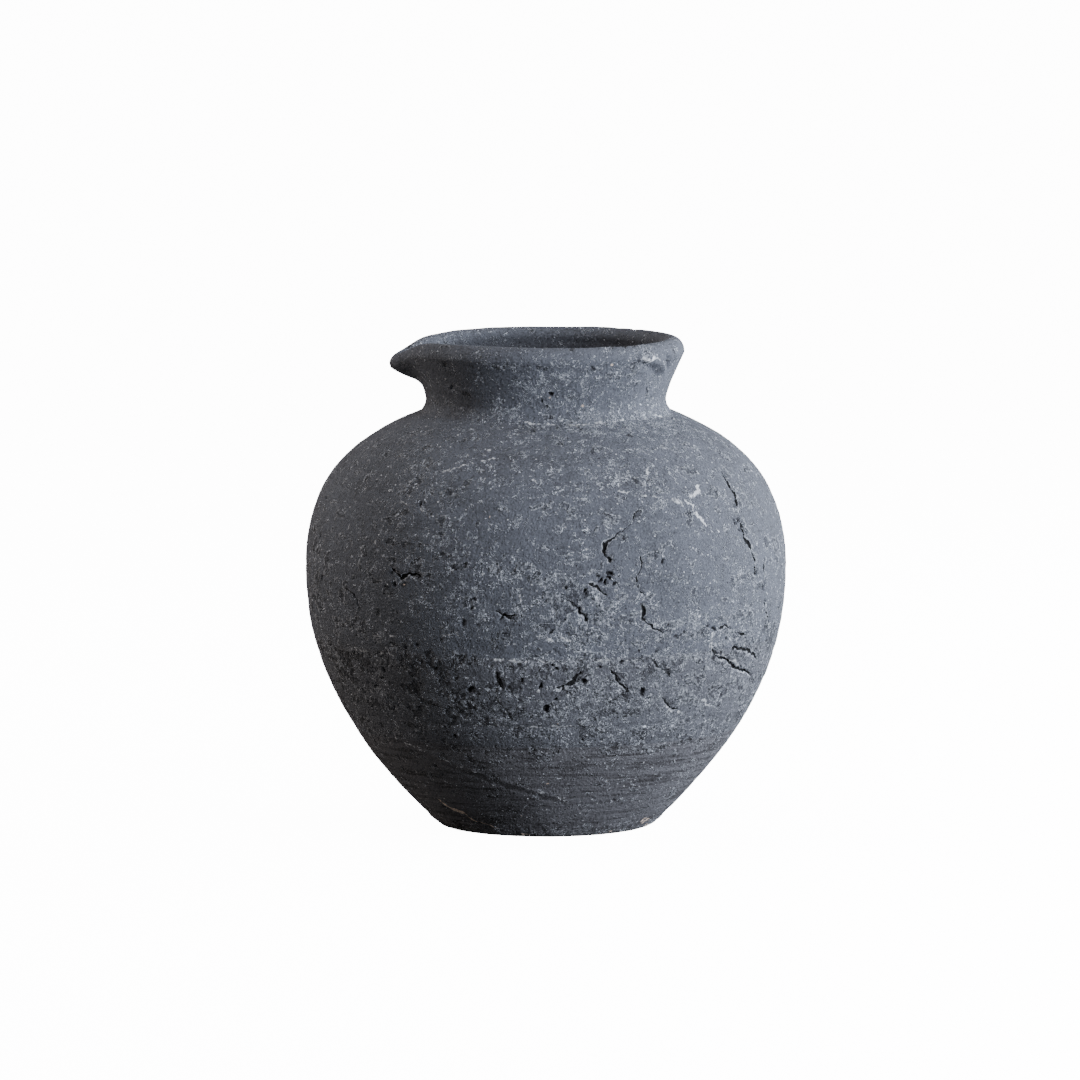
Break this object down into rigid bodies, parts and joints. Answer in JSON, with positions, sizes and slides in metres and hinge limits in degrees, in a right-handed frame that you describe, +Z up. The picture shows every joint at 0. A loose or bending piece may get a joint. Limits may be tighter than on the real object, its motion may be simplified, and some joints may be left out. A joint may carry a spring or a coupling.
{
  "type": "clay pot",
  "caption": "Round-bellied matte black clay pot with a short flared neck, a thick rolled rim and a small pinched pouring lip, built up from lapped clay coils.",
  "frame": {"origin": "centre of the flat underside, on the surface the pot stands on", "axes": "+Z up along the pot's axis, -X towards the pouring lip"},
  "size_m": [0.245, 0.245, 0.25],
  "materials": {
    "foot_clay": "matte black fired clay, fine horizontal scraping lines, buff clay showing at chips",
    "rough_clay": "matte black fired clay, rough and densely pitted, white mineral flecks",
    "wall_clay": "matte black fired clay, dusty grey bloom, cracks, pits and thin white mineral lines",
    "neck_clay": "matte black fired clay, fine grain, pale worn edges"
  },
  "bodies": {
    "root": {"floor_slab": "foot_clay", "foot_coil": "foot_clay", "band_coil": "rough_clay", "belly_coil": "wall_clay", "shoulder_coil": "wall_clay", "crown_coil": "wall_clay", "neck_collar": "neck_clay", "rim_coil": "neck_clay"}
  },
  "joints": []
}
